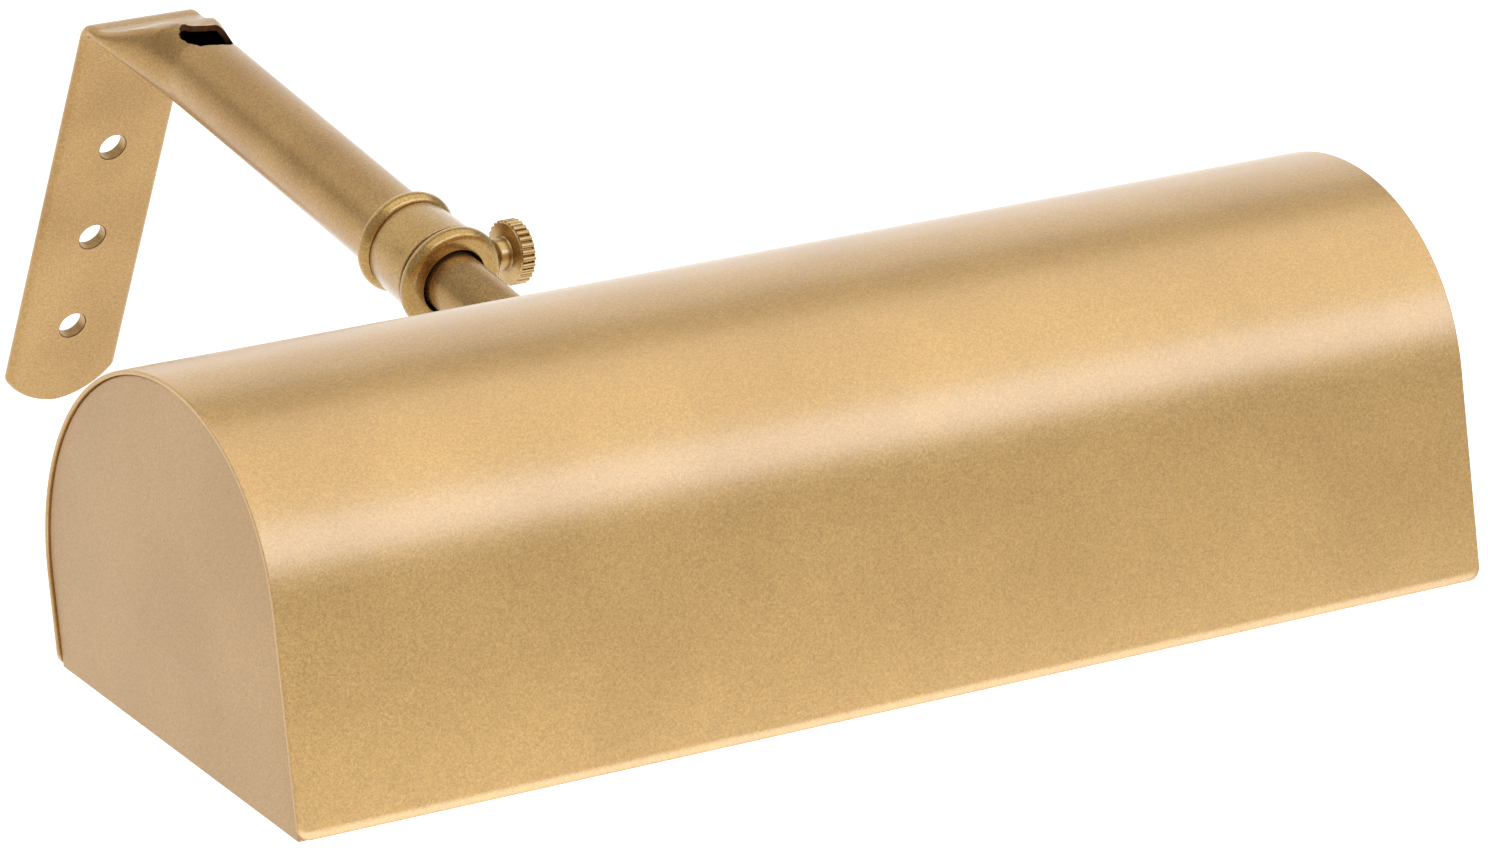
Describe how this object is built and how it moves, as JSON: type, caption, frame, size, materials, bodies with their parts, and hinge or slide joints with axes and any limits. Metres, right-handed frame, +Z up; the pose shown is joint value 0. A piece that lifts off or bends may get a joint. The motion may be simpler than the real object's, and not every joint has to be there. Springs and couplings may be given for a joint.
{
  "type": "picture light",
  "caption": "Telescopic picture light: a half-round shade with a tubular bulb tilts on an arm whose flattened end is a drilled strap, with a knurled clamp screw.",
  "frame": {"origin": "middle screw hole of the strap, on the face that lies against the picture frame's back", "axes": "+Z up along the strap, -Y out over the picture towards the shade, +X along the shade"},
  "size_m": [0.2286, 0.2461, 0.1701],
  "materials": {
    "satin_gold": "satin metallic lacquer over steel",
    "gold_brass": "turned brass, satin",
    "nylon": "natural nylon",
    "black_plastic": "moulded",
    "fibre": "vulcanised fibre",
    "zinc_steel": "zinc plated",
    "phenolic": "moulded phenolic",
    "contact_brass": "pressed brass",
    "black_wire": "insulated wire",
    "white_wire": "insulated wire",
    "splice_plastic": "closed crimp cap",
    "clear_glass": "clear",
    "bulb_cap_metal": "pressed",
    "black_glass": "fused glass insulator",
    "solder": "soldered tip",
    "wire_steel": "drawn wire"
  },
  "bodies": {
    "bracket": {"bracket_arm": "satin_gold", "arm_collar": "gold_brass"},
    "clamp_pad": {"thumbscrew_pad": "nylon"},
    "thumbscrew": {"thumbscrew": "gold_brass"},
    "slide_bush": {"inner_tube_bush": "nylon"},
    "inner_arm": {"inner_tube": "satin_gold", "swivel_tongue": "gold_brass", "swivel_washers": "fibre", "swivel_screws": "gold_brass"},
    "shade": {"swivel_fork": "gold_brass", "shade_shell": "satin_gold", "shade_end_left": "satin_gold", "shade_end_right": "satin_gold", "saddle_washer_outer": "gold_brass", "saddle_washer_inner": "zinc_steel", "hollow_nipple": "zinc_steel", "nipple_lock_washer": "zinc_steel", "nipple_nut": "zinc_steel", "nipple_bushing": "black_plastic", "socket_strap": "zinc_steel", "lampholder_body": "phenolic", "lampholder_shell": "contact_brass", "lampholder_contact": "contact_brass", "lampholder_screw": "zinc_steel", "lead_black": "black_wire", "lead_white": "white_wire", "splice_caps": "splice_plastic", "bulb_glass": "clear_glass", "bulb_cap": "bulb_cap_metal", "bulb_insulator": "black_glass", "bulb_contact": "solder", "bulb_stem": "clear_glass", "bulb_supports": "wire_steel", "bulb_filament": "wire_steel"}
  },
  "joints": [
    {"name": "arm_slide", "type": "slide", "parent": "bracket", "child": "slide_bush", "axis": [0, -0.9836, 0.1805], "range_m": [-0.026, 0.027]},
    {"name": "arm_twist", "type": "hinge", "parent": "slide_bush", "child": "inner_arm", "pos_m": [0, -0.15428, 0.07703], "axis": [0, -0.9836, 0.1805], "range_deg": [-90, 90]},
    {"name": "shade_tilt", "type": "hinge", "parent": "inner_arm", "child": "shade", "pos_m": [0, -0.15428, 0.07703], "axis": [1, 0, 0], "range_deg": [-35, 75]},
    {"name": "pad_travel", "type": "slide", "parent": "bracket", "child": "clamp_pad", "axis": [1, 0, 0], "range_m": [0, 0.0014]},
    {"name": "thumbscrew_turn", "type": "hinge", "parent": "clamp_pad", "child": "thumbscrew", "pos_m": [0, -0.09831, 0.06676], "axis": [1, 0, 0], "range_deg": [0, 721]}
  ],
  "couplings": [
    {"joint": "thumbscrew_turn", "follows": "pad_travel", "rad_per_m": 8976}
  ]
}
